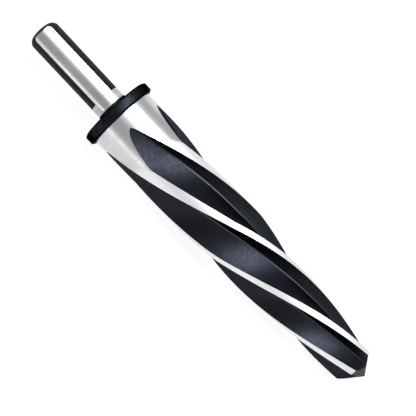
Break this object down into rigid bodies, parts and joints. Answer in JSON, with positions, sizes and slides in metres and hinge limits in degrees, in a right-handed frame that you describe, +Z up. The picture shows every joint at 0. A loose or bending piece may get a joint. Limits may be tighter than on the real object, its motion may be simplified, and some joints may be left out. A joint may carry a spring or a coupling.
{
  "type": "taper reamer",
  "caption": "One-piece taper reamer with left-hand spiral flutes, a conical point, a stop collar and a three-flat drill shank, lying on its collar and cutting edges",
  "frame": {"origin": "centre of the bounding box in X and Y, on the table plane in Z", "axes": "+X runs along the tool from the shank to the point, leaning 2.2 degrees down; +Z is up; the tool lies on its collar and two lands"},
  "size_m": [0.1836, 0.0306, 0.0309],
  "materials": {
    "tool_steel": "ground bright lands, body, neck and flats; black oxide flutes, collar and round shank"
  },
  "bodies": {
    "root": {"taper_reamer": "tool_steel"}
  },
  "joints": []
}
